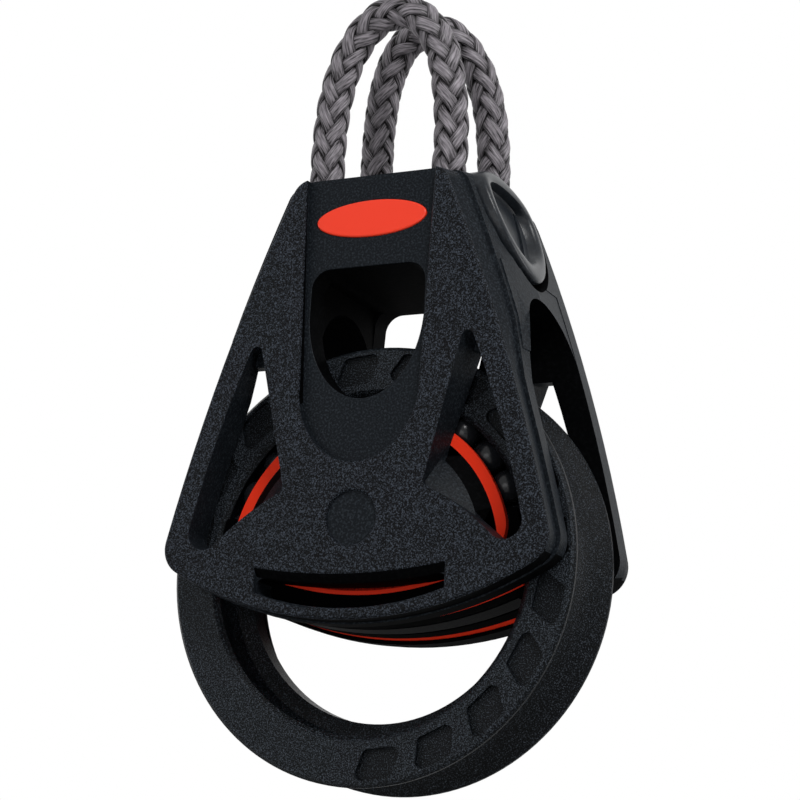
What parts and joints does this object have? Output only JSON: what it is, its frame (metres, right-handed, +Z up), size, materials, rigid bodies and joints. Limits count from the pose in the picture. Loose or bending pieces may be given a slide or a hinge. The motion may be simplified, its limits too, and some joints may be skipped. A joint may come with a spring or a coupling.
{
  "type": "sailing block",
  "caption": "Single-sheave ball-bearing sailing block with trapezoid cheeks, an open ring sheave and two soft rope loops at its head.",
  "frame": {"origin": "centre of the sheave, on its axis midway between its flanges", "axes": "+X across the block along the line's way over the sheave, +Y along the sheave's axis towards the cheek without the badge, +Z up towards the rope loops"},
  "size_m": [0.04, 0.0174, 0.0746],
  "materials": {
    "textured_black": "spark-textured moulded plastic",
    "smooth_black": "satin moulded plastic",
    "sheave_black": "fine-textured moulded plastic",
    "race_red": "smooth low-friction plastic",
    "badge_red": "plain gloss inlay",
    "ball_grey": "polished plastic balls",
    "rope_grey": "coated braided fibre",
    "pin_steel": "ground pins"
  },
  "bodies": {
    "frame": {"front_cheek": "textured_black", "rear_cheek": "textured_black", "badge": "badge_red", "bearing_core": "smooth_black", "front_race": "race_red", "rear_race": "race_red", "front_ball_guide": "race_red", "rear_ball_guide": "race_red", "front_balls": "ball_grey", "rear_balls": "ball_grey", "left_saddle": "smooth_black", "right_saddle": "smooth_black", "front_loop": "rope_grey", "rear_loop": "rope_grey", "left_hub_pin": "pin_steel", "right_hub_pin": "pin_steel", "left_head_pin": "pin_steel", "right_head_pin": "pin_steel"},
    "sheave": {"sheave": "sheave_black"}
  },
  "joints": [
    {"name": "sheave_spin", "type": "hinge", "parent": "frame", "child": "sheave", "pos_m": [0, 0, 0], "axis": [0, 1, 0], "continuous": true}
  ]
}
